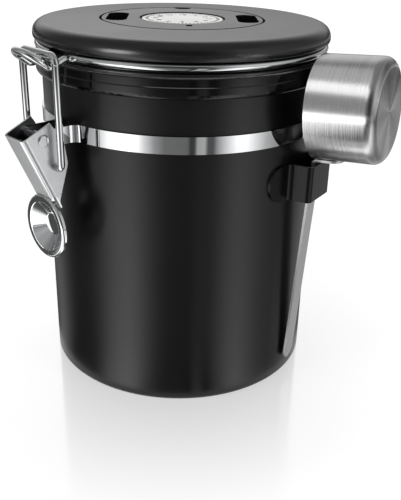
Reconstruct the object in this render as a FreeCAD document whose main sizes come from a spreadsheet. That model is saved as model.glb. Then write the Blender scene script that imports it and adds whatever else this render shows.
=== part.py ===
import math
import os
import re
import FreeCAD
import Part
import Sketcher

# Coffee canister with a wire-latched lid, a gas valve, a date dial and a hung scoop.
# The origin is the centre of the base. +Z is up, the latch is at -Y and the lid hinge at +Y.

doc = FreeCAD.newDocument("coffee_canister")
sheet = doc.addObject("Spreadsheet::Sheet", "dims")

# A size is a number in mm or degrees, or a sum of the sizes above it
sizes = [
    # can
    ("body_radius", 60.0),
    ("body_wall", 0.8),
    ("floor_wall", 1.0),
    ("base_round", 1.6),
    ("wall_height", 132.6),
    ("rim_out", 2.4),
    ("rim_height", 8.0),
    ("rim_round", 2.0),
    ("rim_bend", 0.4),
    ("rim_lip_round", 0.35),
    ("bead_height", 4.6),
    ("bead_step", 0.3),
    ("rim_radius", "body_radius + rim_out"),
    ("mouth_radius", "rim_radius - bead_step - body_wall"),
    ("rim_top", "wall_height + rim_height"),
    # band and ears
    ("seat_gap", 0.05),
    ("band_sheet", 0.8),
    ("band_drop", 20.5),
    ("band_height", 6.8),
    ("ear_bend", 3.6),
    ("ear_round", 3.3),
    ("ear_gap", 0.3),
    ("band_bottom", "wall_height - band_drop"),
    # latch lever
    ("pivot_out", 16.4),
    ("lever_lean", 24.2),
    ("lever_half", 7.0),
    ("lever_sheet", 0.9),
    ("lever_face", 7.9),
    ("lever_head", 4.3),
    ("lever_tail", 28.5),
    ("lever_crease", 2.2),
    ("cheek_top", 5.4),
    ("cheek_mid_along", 6.0),
    ("cheek_mid", 7.2),
    ("cheek_low_along", 14.2),
    ("cheek_low", 4.9),
    ("neck_length", 2.5),
    ("neck_depth", 2.25),
    ("cheek_round", 6.0),
    ("cheek_neck_round", 4.0),
    ("hole_along", 12.18),
    ("hole_out", 0.5),
    ("pivot_reach", "body_radius + pivot_out"),
    ("pivot_level", "band_bottom + band_height / 2"),
    ("hole_reach", "pivot_reach - hole_along * sin(lever_lean) + hole_out * cos(lever_lean)"),
    ("hole_level", "pivot_level - hole_along * cos(lever_lean) - hole_out * sin(lever_lean)"),
    ("ear_inner", "lever_half - lever_sheet - ear_gap - band_sheet"),
    # thumb pad on the lever's tail
    ("pad_radius", 13.3),
    ("pad_sheet", 1.0),
    ("pad_flange", 2.9),
    ("pad_bowl", 4.6),
    ("pad_dish", 4.2),
    ("pad_lip", 1.7),
    ("pad_lap", 5.45),
    ("pad_proud", 0.25),
    ("pad_along", "lever_tail - pad_lap + pad_radius * cos(lever_lean)"),
    ("pad_stand", "lever_face + pad_proud + pad_radius * sin(lever_lean)"),
    # rivet and bush
    ("rivet_radius", 1.5),
    ("rivet_head", 2.3),
    ("rivet_dome", 0.6),
    ("head_gap", 0.12),
    ("bush_radius", 2.7),
    ("run_fit", 0.08),
    # lid, from the rim up
    ("lid_over", 0.6),
    ("lid_rest", 0.4),
    ("lid_flange", 1.1),
    ("lid_thick", 7.8),
    ("lid_crown", 0.7),
    ("lid_round", 4.6),
    ("lid_under_round", 2.0),
    ("lid_skin", 2.6),
    ("ring_tuck", 2.0),
    ("ring_rise", 2.3),
    ("wire_radius", 1.4),
    ("groove_gap", 0.2),
    ("groove_wall", 2.2),
    ("lid_radius", "rim_radius + lid_over"),
    ("lid_flange_bottom", "rim_top + lid_rest"),
    ("lid_flange_top", "lid_flange_bottom + lid_flange"),
    ("lid_flange_radius", "rim_radius - bead_step"),
    ("ring_level", "lid_flange_top + ring_rise"),
    ("ring_radius", "lid_radius - ring_tuck"),
    ("lid_edge", "ring_level + wire_radius + groove_gap"),
    ("lid_top", "lid_edge + lid_thick"),
    ("lid_groove", "ring_radius - wire_radius - groove_gap"),
    ("lid_bore", "lid_groove - groove_wall"),
    ("lid_ceiling", "lid_top - lid_skin"),
    # wires
    ("bail_side", 4.2),
    ("bail_past", 0.8),
    ("bail_corner", 3.2),
    ("bail_foot_bend", 2.4),
    ("bail_over", 2.38),
    ("bail_half", "lever_half + bail_side"),
    ("bail_end", "lever_half - lever_sheet - bail_past"),
    ("bail_height", "ring_level + bail_over - hole_level"),
    ("hook_half", 6.4),
    ("hook_sag", 22.0),
    ("hook_sag_bend", 4.0),
    ("hook_tuck", 1.0),
    ("hook_fold_bend", 3.2),
    ("hook_angle", 36.0),
    ("hook_rise", 9.0),
    ("hook_flat", 0.5),
    ("hook_fold", "hole_reach - hook_tuck"),
    ("hook_corner", "hook_half - hook_flat"),
    ("ring_bend", 3.5),
    ("hinge_out", 5.1),
    ("hinge_half", 9.5),
    ("hinge_corner", 2.6),
    ("hinge_reach", "rim_radius + hinge_out"),
    # hinge bracket
    ("bracket_half", 6.4),
    ("bracket_sheet", 1.0),
    ("bracket_rise", 0.7),
    ("bracket_run", 7.4),
    ("bracket_bend", 2.2),
    ("curl_sweep", 285.0),
    ("bracket_foot", "band_bottom + band_height + bracket_rise"),
    ("bracket_step", "bracket_foot + bracket_run"),
    # liner and gasket
    ("liner_gap", 0.2),
    ("liner_sheet", 1.6),
    ("plug_inset", 0.6),
    ("plug_wall", 1.6),
    ("plug_depth", 7.4),
    ("gasket_side", 0.3),
    ("gasket_height", 2.8),
    ("gasket_gap", 0.1),
    ("liner_top", "lid_flange_bottom + liner_sheet"),
    ("plug_radius", "lid_bore - liner_gap - plug_inset"),
    ("plug_bottom", "lid_flange_bottom - plug_depth"),
    ("gasket_radius", "mouth_radius - gasket_side"),
    # dial
    ("valve_room", 4.4),
    ("recess_wall", 1.9),
    ("hub_radius", 4.2),
    ("hub_drop", 0.5),
    ("dial_inset", 28.7),
    ("dial_side", 0.8),
    ("dial_gap", 0.1),
    ("dial_round", 0.5),
    ("slip_inset", 0.5),
    ("slip_sheet", 0.4),
    ("badge_land", 4.9),
    ("badge_side", 1.0),
    ("badge_recess_depth", 0.9),
    ("badge_sheet", 0.5),
    ("dial_turn", 47.5),
    ("pocket_inset", 2.4),
    ("pocket_width", 8.8),
    ("pocket_half", 12.4),
    ("pocket_round", 4.0),
    ("pocket_floor", 1.25),
    ("notch_length", 5.3),
    ("notch_half", 3.7),
    ("notch_round", 3.2),
    ("mark_inset", 9.1),
    ("mark_length", 3.8),
    ("mark_half", 1.2),
    ("mark_shift", 2.7),
    ("mark_depth", 0.4),
    ("pin_radius", 1.8),
    ("pin_head", 3.4),
    ("pin_head_height", 0.6),
    ("pin_up", 0.6),
    ("sink_radius", 3.8),
    ("sink_depth", 0.8),
    ("dial_radius", "lid_radius - dial_inset"),
    ("recess_radius", "dial_radius + dial_side"),
    ("pocket_end", "dial_radius - pocket_inset"),
    ("pocket_start", "pocket_end - pocket_width"),
    ("badge_recess", "pocket_start - badge_land"),
    ("badge_radius", "badge_recess - badge_side"),
    ("notch_start", "dial_radius - notch_length"),
    ("mark_end", "dial_radius - mark_inset"),
    ("mark_start", "mark_end - mark_length"),
    ("recess_floor", "liner_top + valve_room"),
    ("hub_bottom", "recess_floor - recess_wall - hub_drop"),
    ("slip_radius", "dial_radius - slip_inset"),
    ("dial_bottom", "recess_floor + seat_gap + slip_sheet + dial_gap"),
    ("pocket_depth", "lid_top - dial_bottom - pocket_floor"),
    ("sink_floor", "lid_top - badge_recess_depth - sink_depth"),
    ("pin_bottom", "hub_bottom + pin_up"),
    # screws and valve
    ("screw_inset", 12.2),
    ("screw_radius", 1.3),
    ("screw_head", 2.6),
    ("screw_head_height", 1.4),
    ("screw_length", 6.5),
    ("boss_radius", 3.4),
    ("screw_circle", "lid_bore - screw_inset"),
    ("vent_circle", 5.6),
    ("vent_radius", 1.1),
    ("flap_radius", 8.4),
    ("flap_sheet", 1.0),
    ("flap_gap", 0.05),
    ("stem_radius", 1.3),
    ("bulb_radius", 1.8),
    ("bulb_drop", 1.2),
    ("bulb_length", 2.2),
    ("filter_bore", 2.6),
    ("filter_radius", 11.0),
    ("filter_sheet", 0.5),
    ("cap_radius", 13.5),
    ("cap_wall", 1.2),
    ("cap_height", 5.2),
    ("slot_circle", 7.0),
    ("slot_length", 6.0),
    ("slot_width", 1.8),
    # scoop holder
    ("scoop_angle", 13.5),
    ("holder_sheet", 1.2),
    ("holder_drop", 9.1),
    ("holder_height", 15.2),
    ("holder_out", 9.8),
    ("holder_half", 9.8),
    ("holder_corner", 2.2),
    ("holder_bend", 2.6),
    ("holder_span", 21.2),
    ("holder_end_round", 6.8),
    ("holder_top", "band_bottom - holder_drop"),
    ("holder_reach", "body_radius + holder_out"),
    # scoop
    ("scoop_out", 7.7),
    ("scoop_lift", 1.1),
    ("scoop_tilt", 3.5),
    ("scoop_twist", 4.0),
    ("strip_half", 4.5),
    ("strip_sheet", 1.0),
    ("strip_length", 97.0),
    ("strip_leg", 11.0),
    ("strip_bend", 2.2),
    ("strip_end_round", 4.3),
    ("cup_radius", 20.6),
    ("cup_wall", 0.8),
    ("cup_depth", 27.4),
    ("cup_round", 4.0),
    ("cup_start", 0.8),
    ("cup_rise", 3.5),
    ("scoop_reach", "body_radius + scoop_out"),
]

screw_count = 4
vent_count = 6
pocket_count = 2
full_turn = 360
half_turn = 180
quarter_turn = 90
match_limit = 1e-4

for row, (name, size) in enumerate(sizes, start=1):
    sheet.set("A%d" % row, name)
    sheet.set("B%d" % row, "=" + size if isinstance(size, str) else str(size))
    sheet.setAlias("B%d" % row, name)
doc.recompute()
size_names = {name for name, size in sizes}


# A size or a sum of sizes, written with the plain names of the sheet
def cell(text):
    def swap(match):
        word = match.group(0)
        return "dims." + word if word in size_names else word
    return re.sub(r"[a-z][a-z_]*", swap, text)


def value(text):
    return float(sheet.evalExpression(cell(text)))


def new_body(name):
    body = doc.addObject("PartDesign::Body", name)
    body.Label = name
    return body


# A sketch on one of the body's own planes, lifted along the plane's normal
def new_sketch(body, name, role, lift=None):
    sketch = body.newObject("Sketcher::SketchObject", body.Name + "_" + name)
    plane = [item for item in body.Origin.OriginFeatures if item.Role == role][0]
    sketch.AttachmentSupport = [(plane, "")]
    sketch.MapMode = "FlatFace"
    if lift:
        sketch.setExpression("AttachmentOffset.Base.z", cell(lift))
    return sketch


def bind(sketch, rules):
    plain = [rule for rule, text in rules]
    places = sketch.addConstraint(plain)
    for place, (rule, text) in zip(places, rules):
        if text:
            sketch.setExpression("Constraints[%d]" % place, cell(text))


# Rules that tie one point of the sketch to the sheet
def pin_point(geometry, end, across, up):
    rules = []
    if across == "0":
        rules.append((Sketcher.Constraint("PointOnObject", geometry, end, -2), None))
    else:
        rules.append((Sketcher.Constraint("DistanceX", -1, 1, geometry, end, value(across)), across))
    if up == "0":
        rules.append((Sketcher.Constraint("PointOnObject", geometry, end, -1), None))
    else:
        rules.append((Sketcher.Constraint("DistanceY", -1, 1, geometry, end, value(up)), up))
    return rules


# An arc through three points, kept counter-clockwise
def add_arc(sketch, first, middle, last):
    if (middle - first).cross(last - middle).z < 0:
        first, last = last, first
    through = Part.Circle(first, middle, last)
    centre, radius = through.Center, through.Radius
    begin = math.atan2(first.y - centre.y, first.x - centre.x)
    finish = math.atan2(last.y - centre.y, last.x - centre.x)
    if finish < begin:
        finish += 2 * math.pi
    ring = Part.Circle(centre, FreeCAD.Vector(0, 0, 1), radius)
    return sketch.addGeometry(Part.ArcOfCircle(ring, begin, finish), False)


def point_at(sketch, geometry, end):
    shape = sketch.Geometry[geometry]
    return shape.StartPoint if end == 1 else shape.EndPoint


# Which end of a line or arc lies at a spot
def end_at(sketch, geometry, spot):
    start = point_at(sketch, geometry, 1)
    finish = point_at(sketch, geometry, 2)
    return 1 if (start - spot).Length < (finish - spot).Length else 2


# Straight runs between corners, each corner (across, up) or (across, up, radius)
def outline(sketch, corners, closed=True):
    spots = [FreeCAD.Vector(value(corner[0]), value(corner[1]), 0) for corner in corners]
    radii = [corner[2] if len(corner) > 2 else None for corner in corners]
    count = len(corners)
    entries = list(spots)
    exits = list(spots)
    bends = {}
    for place in range(count):
        if not radii[place]:
            continue
        before = (spots[place - 1] - spots[place]).normalize()
        after = (spots[(place + 1) % count] - spots[place]).normalize()
        half = before.getAngle(after) / 2
        radius = value(radii[place])
        trim = radius / math.tan(half)
        entries[place] = spots[place] + before * trim
        exits[place] = spots[place] + after * trim
        middle = (before + after).normalize()
        centre = spots[place] + middle * (radius / math.sin(half))
        nearest = centre - middle * radius
        bends[place] = nearest
    run_count = count if closed else count - 1
    runs = []
    for place in range(run_count):
        follower = (place + 1) % count
        runs.append(sketch.addGeometry(Part.LineSegment(exits[place], entries[follower]), False))
    rules = []
    for place in range(count):
        across, up = corners[place][0], corners[place][1]
        if not closed and place == 0:
            rules += pin_point(runs[0], 1, across, up)
            continue
        if not closed and place == count - 1:
            rules += pin_point(runs[-1], 2, across, up)
            continue
        arrive = runs[place - 1]
        leave = runs[place]
        if place not in bends:
            rules.append((Sketcher.Constraint("Coincident", arrive, 2, leave, 1), None))
            rules += pin_point(leave, 1, across, up)
            continue
        arc = add_arc(sketch, entries[place], bends[place], exits[place])
        first = end_at(sketch, arc, entries[place])
        last = 3 - first
        rules.append((Sketcher.Constraint("Tangent", arrive, 2, arc, first), None))
        rules.append((Sketcher.Constraint("Tangent", arc, last, leave, 1), None))
        rules.append((Sketcher.Constraint("Radius", arc, value(radii[place])), radii[place]))
        mark = sketch.addGeometry(Part.Point(spots[place]), True)
        rules.append((Sketcher.Constraint("PointOnObject", mark, 1, arrive), None))
        rules.append((Sketcher.Constraint("PointOnObject", mark, 1, leave), None))
        rules += pin_point(mark, 1, across, up)
    bind(sketch, rules)
    return runs


def circle(sketch, across, up, radius):
    centre = FreeCAD.Vector(value(across), value(up), 0)
    ring = sketch.addGeometry(Part.Circle(centre, FreeCAD.Vector(0, 0, 1), value(radius)), False)
    rules = [(Sketcher.Constraint("Radius", ring, value(radius)), radius)]
    if across == "0" and up == "0":
        rules.append((Sketcher.Constraint("Coincident", ring, 3, -1, 1), None))
    else:
        rules += pin_point(ring, 3, across, up)
    bind(sketch, rules)


def revolve(body, name, sketch, axis="V_Axis"):
    feature = body.newObject("PartDesign::Revolution", body.Name + "_" + name)
    feature.Profile = sketch
    feature.ReferenceAxis = (sketch, [axis])
    feature.Angle = full_turn
    return feature


def pad(body, name, sketch, length, middle=False, back=False):
    feature = body.newObject("PartDesign::Pad", body.Name + "_" + name)
    feature.Profile = sketch
    feature.setExpression("Length", cell(length))
    feature.Midplane = middle
    feature.Reversed = back
    return feature


def pocket(body, name, sketch, length=None, middle=False, back=False):
    feature = body.newObject("PartDesign::Pocket", body.Name + "_" + name)
    feature.Profile = sketch
    if length:
        feature.setExpression("Length", cell(length))
    else:
        feature.Type = "ThroughAll"
    feature.Midplane = middle
    feature.Reversed = back
    return feature


# Rounds every edge of a feature that passes the test
def round_edges(body, name, feature, radius, test):
    doc.recompute()
    picked = []
    for place, edge in enumerate(feature.Shape.Edges, start=1):
        if test(edge):
            picked.append("Edge%d" % place)
    fillet = body.newObject("PartDesign::Fillet", body.Name + "_" + name)
    fillet.Base = (feature, picked)
    fillet.setExpression("Radius", cell(radius))
    return fillet


def around(body, name, features, copies):
    turn = body.newObject("PartDesign::PolarPattern", body.Name + "_" + name)
    turn.Originals = features
    axis = [item for item in body.Origin.OriginFeatures if item.Role == "Z_Axis"][0]
    turn.Axis = (axis, [""])
    turn.Angle = full_turn
    turn.Occurrences = copies
    body.Tip = turn
    return turn


# A piece turned about the object's own axis from one half section
def turned(name, corners):
    body = new_body(name)
    sketch = new_sketch(body, "section", "XZ_Plane")
    outline(sketch, corners)
    revolve(body, "turn", sketch)
    return body


# Can with a flat base, straight wall and a stepped mouth rim with a bead round its foot
canister = turned("canister_body", [
    ("0", "0"),
    ("body_radius", "0", "base_round"),
    ("body_radius", "wall_height"),
    ("rim_radius", "wall_height + rim_bend", "rim_round"),
    ("rim_radius", "wall_height + bead_height", "bead_step"),
    ("rim_radius - bead_step", "wall_height + bead_height + bead_step"),
    ("rim_radius - bead_step", "rim_top", "rim_lip_round"),
    ("mouth_radius", "rim_top", "rim_lip_round"),
    ("mouth_radius", "wall_height + body_wall + rim_bend", "rim_round - body_wall"),
    ("body_radius - body_wall", "wall_height + body_wall", "rim_bend"),
    ("body_radius - body_wall", "floor_wall", "base_round - body_wall"),
    ("0", "floor_wall"),
])


# One side of a bent strip seen from above: straight ends joined to a ring round the can
def strip_side(ring, bend, side, end):
    reach = value(ring) + value(bend)
    bend_x = value(side) + value(bend)
    bend_y = -math.sqrt(reach ** 2 - bend_x ** 2)
    touch = value(ring) / reach
    ring_x, ring_y = bend_x * touch, bend_y * touch
    middle = math.atan2(ring_y - bend_y, ring_x - bend_x)
    corner = (middle + math.pi) / 2
    arc_x = bend_x + value(bend) * math.cos(corner)
    arc_y = bend_y + value(bend) * math.sin(corner)
    return [(value(side), value(end)), (value(side), bend_y), (arc_x, arc_y), (ring_x, ring_y)]


# Band with both ends bent out as ears
def make_band():
    body = new_body("body_band")
    sketch = new_sketch(body, "plan", "XY_Plane", "band_bottom")
    tip = "-(pivot_reach + band_height / 2)"
    layers = [
        ("body_radius + seat_gap", "ear_bend + band_sheet", "ear_inner"),
        ("body_radius + seat_gap + band_sheet", "ear_bend", "ear_inner + band_sheet"),
    ]
    rules = []
    ends = []
    for ring, bend, side in layers:
        spots = strip_side(ring, bend, side, tip)
        right = [FreeCAD.Vector(across, up, 0) for across, up in spots]
        left = [FreeCAD.Vector(-across, up, 0) for across, up in spots]
        far = FreeCAD.Vector(0, value(ring), 0)
        line_right = sketch.addGeometry(Part.LineSegment(right[0], right[1]), False)
        arc_right = add_arc(sketch, right[1], right[2], right[3])
        hoop = add_arc(sketch, right[3], far, left[3])
        arc_left = add_arc(sketch, left[3], left[2], left[1])
        line_left = sketch.addGeometry(Part.LineSegment(left[1], left[0]), False)
        chain = [line_right, arc_right, hoop, arc_left, line_left]
        joints = [right[1], right[3], left[3], left[1]]
        for first, second, spot in zip(chain, chain[1:], joints):
            rules.append((Sketcher.Constraint("Tangent", first, end_at(sketch, first, spot),
                                              second, end_at(sketch, second, spot)), None))
        rules.append((Sketcher.Constraint("Coincident", hoop, 3, -1, 1), None))
        rules.append((Sketcher.Constraint("Radius", hoop, value(ring)), ring))
        rules.append((Sketcher.Constraint("Radius", arc_right, value(bend)), bend))
        rules.append((Sketcher.Constraint("Radius", arc_left, value(bend)), bend))
        rules.append((Sketcher.Constraint("Vertical", line_right), None))
        rules.append((Sketcher.Constraint("Vertical", line_left), None))
        rules += pin_point(line_right, 1, side, tip)
        rules += pin_point(line_left, 2, "-(" + side + ")", tip)
        ends.append((line_right, line_left))
    for place, end in ((0, 1), (1, 2)):
        inner, outer = ends[0][place], ends[1][place]
        first = point_at(sketch, inner, end)
        second = point_at(sketch, outer, end)
        cap = sketch.addGeometry(Part.LineSegment(first, second), False)
        rules.append((Sketcher.Constraint("Coincident", cap, 1, inner, end), None))
        rules.append((Sketcher.Constraint("Coincident", cap, 2, outer, end), None))
    bind(sketch, rules)
    strip = pad(body, "strip", sketch, "band_height")
    tip_y = value(tip)
    round_edges(
        body, "ear_ends", strip, "ear_round",
        lambda edge: all(abs(spot.Point.y - tip_y) < match_limit for spot in edge.Vertexes)
        and abs(edge.Vertexes[0].Point.z - edge.Vertexes[-1].Point.z) < match_limit)
    holes = new_sketch(body, "pivot_hole", "YZ_Plane")
    circle(holes, "-pivot_reach", "pivot_level", "rivet_radius + seat_gap")
    pocket(body, "pivot_holes", holes, "4 * lever_half", middle=True)
    return body


band = make_band()


# Puts a body at a point given by sizes
def place(body, across, back, up, rotation=FreeCAD.Rotation()):
    spot = FreeCAD.Vector(value(across), value(back), value(up))
    body.Placement = FreeCAD.Placement(spot, rotation)
    body.setExpression("Placement.Base.x", cell(across))
    body.setExpression("Placement.Base.y", cell(back))
    body.setExpression("Placement.Base.z", cell(up))


# Lever in its own frame: X runs down the sloping face, Y stands out of it, the pivot is the origin
def make_lever():
    body = new_body("latch_lever")
    section = new_sketch(body, "channel_section", "YZ_Plane", "-lever_head")
    outline(section, [
        ("-2 * lever_face", "lever_half"),
        ("-2 * lever_face", "lever_half - lever_sheet"),
        ("lever_face - lever_sheet", "lever_half - lever_sheet", "lever_crease - lever_sheet"),
        ("lever_face - lever_sheet", "-(lever_half - lever_sheet)", "lever_crease - lever_sheet"),
        ("-2 * lever_face", "-(lever_half - lever_sheet)"),
        ("-2 * lever_face", "-lever_half"),
        ("lever_face", "-lever_half", "lever_crease"),
        ("lever_face", "lever_half", "lever_crease"),
    ])
    pad(body, "channel", section, "lever_head + lever_tail")
    trim = new_sketch(body, "cheek_line", "XY_Plane")
    outline(trim, [
        ("-(lever_head + lever_sheet)", "-cheek_top"),
        ("-(lever_head + lever_sheet)", "-3 * lever_face"),
        ("lever_tail + lever_sheet", "-3 * lever_face"),
        ("lever_tail + lever_sheet", "lever_face - neck_depth"),
        ("lever_tail - neck_length", "lever_face - neck_depth", "cheek_neck_round"),
        ("cheek_low_along", "-cheek_low", "cheek_round"),
        ("cheek_mid_along", "-cheek_mid", "cheek_round"),
    ])
    pocket(body, "cheeks", trim, "4 * lever_half", middle=True)
    dish = new_sketch(body, "pad_section", "XY_Plane")
    dish.setExpression("AttachmentOffset.Base.x", cell("pad_along"))
    dish.setExpression("AttachmentOffset.Base.y", cell("pad_stand"))
    dish.setExpression("AttachmentOffset.Rotation.Angle", cell("lever_lean"))
    outline(dish, [
        ("0", "-pad_dish"),
        ("pad_bowl", "-pad_dish", "pad_sheet"),
        ("pad_radius - pad_flange", "0", "pad_sheet"),
        ("pad_radius", "0", "pad_sheet"),
        ("pad_radius", "-pad_lip"),
        ("pad_radius - pad_sheet", "-pad_lip"),
        ("pad_radius - pad_sheet", "-pad_sheet"),
        ("pad_radius - pad_flange", "-pad_sheet", "pad_sheet / 2"),
        ("pad_bowl", "-(pad_dish + pad_sheet)", "pad_sheet / 2"),
        ("0", "-(pad_dish + pad_sheet)"),
    ])
    revolve(body, "pad", dish)
    pivot = new_sketch(body, "pivot_hole", "XY_Plane")
    circle(pivot, "0", "0", "rivet_radius + run_fit")
    circle(pivot, "hole_along", "hole_out", "wire_radius + run_fit")
    pocket(body, "holes", pivot, "4 * lever_half", middle=True)
    lean = math.radians(value("lever_lean"))
    along = FreeCAD.Vector(0, math.sin(lean), -math.cos(lean))
    outward = FreeCAD.Vector(0, -math.cos(lean), -math.sin(lean))
    turn = FreeCAD.Rotation(along, outward, along.cross(outward), "XYZ")
    place(body, "0", "-pivot_reach", "pivot_level", turn)
    return body


lever = make_lever()


# Wire loop whose feet turn in the lever holes and whose crossbar pulls on the hook
def make_bail():
    body = new_body("bail_wire")
    spine = new_sketch(body, "spine", "XZ_Plane")
    outline(spine, [
        ("bail_end", "0"),
        ("bail_half", "0", "bail_foot_bend"),
        ("bail_half", "bail_height", "bail_corner"),
        ("-bail_half", "bail_height", "bail_corner"),
        ("-bail_half", "0", "bail_foot_bend"),
        ("-bail_end", "0"),
    ], closed=False)
    section = new_sketch(body, "section", "YZ_Plane", "bail_end")
    circle(section, "0", "0", "wire_radius")
    pipe = body.newObject("PartDesign::AdditivePipe", "bail_wire_sweep")
    pipe.Profile = section
    pipe.Spine = (spine, [])
    place(body, "0", "-hole_reach", "hole_level")
    return body


bail = make_bail()


# A pin or sleeve turned about the pivot, its corners (along the axis, radius)
def cross_pin(name, corners):
    body = new_body(name)
    sketch = new_sketch(body, "section", "XY_Plane")
    outline(sketch, corners)
    revolve(body, "turn", sketch, "H_Axis")
    place(body, "0", "-pivot_reach", "pivot_level")
    return body


rivet = cross_pin("lever_rivet", [
    ("-(lever_half + head_gap + rivet_dome)", "0"),
    ("lever_half + head_gap + rivet_dome", "0"),
    ("lever_half + head_gap + rivet_dome", "rivet_head", "rivet_dome * 4 / 5"),
    ("lever_half + head_gap", "rivet_head"),
    ("lever_half + head_gap", "rivet_radius"),
    ("-(lever_half + head_gap)", "rivet_radius"),
    ("-(lever_half + head_gap)", "rivet_head"),
    ("-(lever_half + head_gap + rivet_dome)", "rivet_head", "rivet_dome * 4 / 5"),
])

bush = cross_pin("pivot_bush", [
    ("-(ear_inner - seat_gap)", "rivet_radius + seat_gap"),
    ("ear_inner - seat_gap", "rivet_radius + seat_gap"),
    ("ear_inner - seat_gap", "bush_radius"),
    ("-(ear_inner - seat_gap)", "bush_radius"),
])


# Edges of one half of the lid wire, from the hinge bar round to the middle of the hook bar
def half_ring_edges():
    ring = value("ring_radius")
    bend = value("ring_bend")
    level = value("ring_level")
    hinge_x = value("hinge_half")
    hinge_y = value("hinge_reach")
    hinge_bend = value("hinge_corner")
    hook_x = value("hook_half")
    sag = math.radians(value("hook_sag"))
    sag_bend = value("hook_sag_bend")
    fold_y = value("hook_fold")
    fold_bend = value("hook_fold_bend")
    angle = math.radians(value("hook_angle"))
    rise = value("hook_rise")
    tip_bend = value("hook_corner")

    def flat(across, back):
        return FreeCAD.Vector(across, back, level)

    def arc_middle(centre, first, last, radius):
        return centre + ((first + last) / 2 - centre).normalize() * radius

    def leg_bend(leg_x, side):
        centre_x = leg_x + bend
        centre_y = side * math.sqrt((ring + bend) ** 2 - centre_x ** 2)
        on_ring = flat(centre_x * ring / (ring + bend), centre_y * ring / (ring + bend))
        on_leg = flat(leg_x, centre_y)
        return on_leg, arc_middle(flat(centre_x, centre_y), on_leg, on_ring, bend), on_ring

    edges = []
    bar_end = flat(hinge_x - hinge_bend, hinge_y)
    leg_start = flat(hinge_x, hinge_y - hinge_bend)
    corner = flat(hinge_x - hinge_bend, hinge_y - hinge_bend)
    edges.append(Part.LineSegment(flat(0, hinge_y), bar_end))
    edges.append(Part.Arc(bar_end, arc_middle(corner, bar_end, leg_start, hinge_bend), leg_start))
    on_leg, on_bend, on_ring = leg_bend(hinge_x, 1)
    edges.append(Part.LineSegment(leg_start, on_leg))
    edges.append(Part.Arc(on_leg, on_bend, on_ring))
    front_leg, front_bend, front_ring = leg_bend(hook_x, -1)
    edges.append(Part.Arc(on_ring, flat(ring, 0), front_ring))
    edges.append(Part.Arc(front_ring, front_bend, front_leg))
    sag_start = front_leg
    sag_centre = sag_start - FreeCAD.Vector(0, 0, sag_bend)

    def on_sag(turn):
        return sag_centre + FreeCAD.Vector(0, -math.sin(turn), math.cos(turn)) * sag_bend

    sag_end = on_sag(sag)
    edges.append(Part.Arc(sag_start, on_sag(sag / 2), sag_end))
    run = fold_y - fold_bend * math.sin(sag) + sag_end.y
    fold_start = sag_end + FreeCAD.Vector(0, -run, -run * math.tan(sag))
    edges.append(Part.LineSegment(sag_end, fold_start))
    fold_centre = fold_start + FreeCAD.Vector(0, -math.sin(sag), math.cos(sag)) * fold_bend

    def on_fold(turn):
        return fold_centre + FreeCAD.Vector(0, -math.sin(turn), -math.cos(turn)) * fold_bend

    fold_end = on_fold(angle)
    edges.append(Part.Arc(fold_start, on_fold((angle - sag) / 2), fold_end))
    slope = FreeCAD.Vector(0, -math.cos(angle), math.sin(angle))
    inward = FreeCAD.Vector(-1, 0, 0)
    tip_corner = fold_end + slope * rise
    tip_start = tip_corner - slope * tip_bend
    tip_end = tip_corner + inward * tip_bend
    tip_centre = tip_start + inward * tip_bend
    edges.append(Part.LineSegment(fold_end, tip_start))
    edges.append(Part.Arc(tip_start, arc_middle(tip_centre, tip_start, tip_end, tip_bend), tip_end))
    edges.append(Part.LineSegment(tip_end, FreeCAD.Vector(0, tip_end.y, tip_end.z)))
    return [edge.toShape() for edge in edges]


# The wire is bent in three directions, so its two halves are swept and joined
def make_ring():
    spine = Part.Wire(half_ring_edges())
    start = FreeCAD.Vector(0, value("hinge_reach"), value("ring_level"))
    section = Part.Wire(Part.makeCircle(value("wire_radius"), start, FreeCAD.Vector(1, 0, 0)))
    half = spine.makePipeShell([section], True, False)
    other = half.mirror(FreeCAD.Vector(0, 0, 0), FreeCAD.Vector(1, 0, 0))
    ring = doc.addObject("Part::Feature", "lid_ring")
    ring.Label = "lid_ring"
    ring.Shape = half.fuse(other).removeSplitter()
    return ring


lid_ring = make_ring()


# Strap on the back of the band, its top rolled round the hinge bar
def make_bracket():
    body = new_body("hinge_bracket")
    foot = "body_radius + 2 * seat_gap + band_sheet + bracket_sheet / 2"
    curl = "wire_radius + run_fit + bracket_sheet / 2"
    riser = "hinge_reach - (" + curl + ")"
    spine = new_sketch(body, "spine", "YZ_Plane")
    runs = outline(spine, [
        (foot, "band_bottom"),
        (foot, "bracket_foot", "bracket_bend"),
        (riser, "bracket_step", "bracket_bend"),
        (riser, "ring_level"),
    ], closed=False)
    centre = FreeCAD.Vector(value("hinge_reach"), value("ring_level"), 0)
    radius = value(curl)

    def on_curl(turn):
        angle = math.radians(half_turn - turn)
        return centre + FreeCAD.Vector(math.cos(angle), math.sin(angle), 0) * radius

    sweep = value("curl_sweep")
    roll = add_arc(spine, on_curl(0), on_curl(sweep / 2), on_curl(sweep))
    near = end_at(spine, roll, on_curl(0))
    far = 3 - near
    end_up = "ring_level + (" + curl + ") * sin(180 - curl_sweep)"
    bind(spine, [
        (Sketcher.Constraint("Tangent", runs[-1], 2, roll, near), None),
        (Sketcher.Constraint("DistanceX", -1, 1, roll, 3, value("hinge_reach")), "hinge_reach"),
        (Sketcher.Constraint("DistanceY", -1, 1, roll, far, value(end_up)), end_up),
    ])
    section = new_sketch(body, "section", "XY_Plane", "band_bottom")
    outline(section, [
        ("-bracket_half", foot + " - bracket_sheet / 2"),
        ("bracket_half", foot + " - bracket_sheet / 2"),
        ("bracket_half", foot + " + bracket_sheet / 2"),
        ("-bracket_half", foot + " + bracket_sheet / 2"),
    ])
    pipe = body.newObject("PartDesign::AdditivePipe", "hinge_bracket_sweep")
    pipe.Profile = section
    pipe.Spine = (spine, [])
    return body


bracket = make_bracket()

liner_bottom = "lid_flange_bottom"

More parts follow.
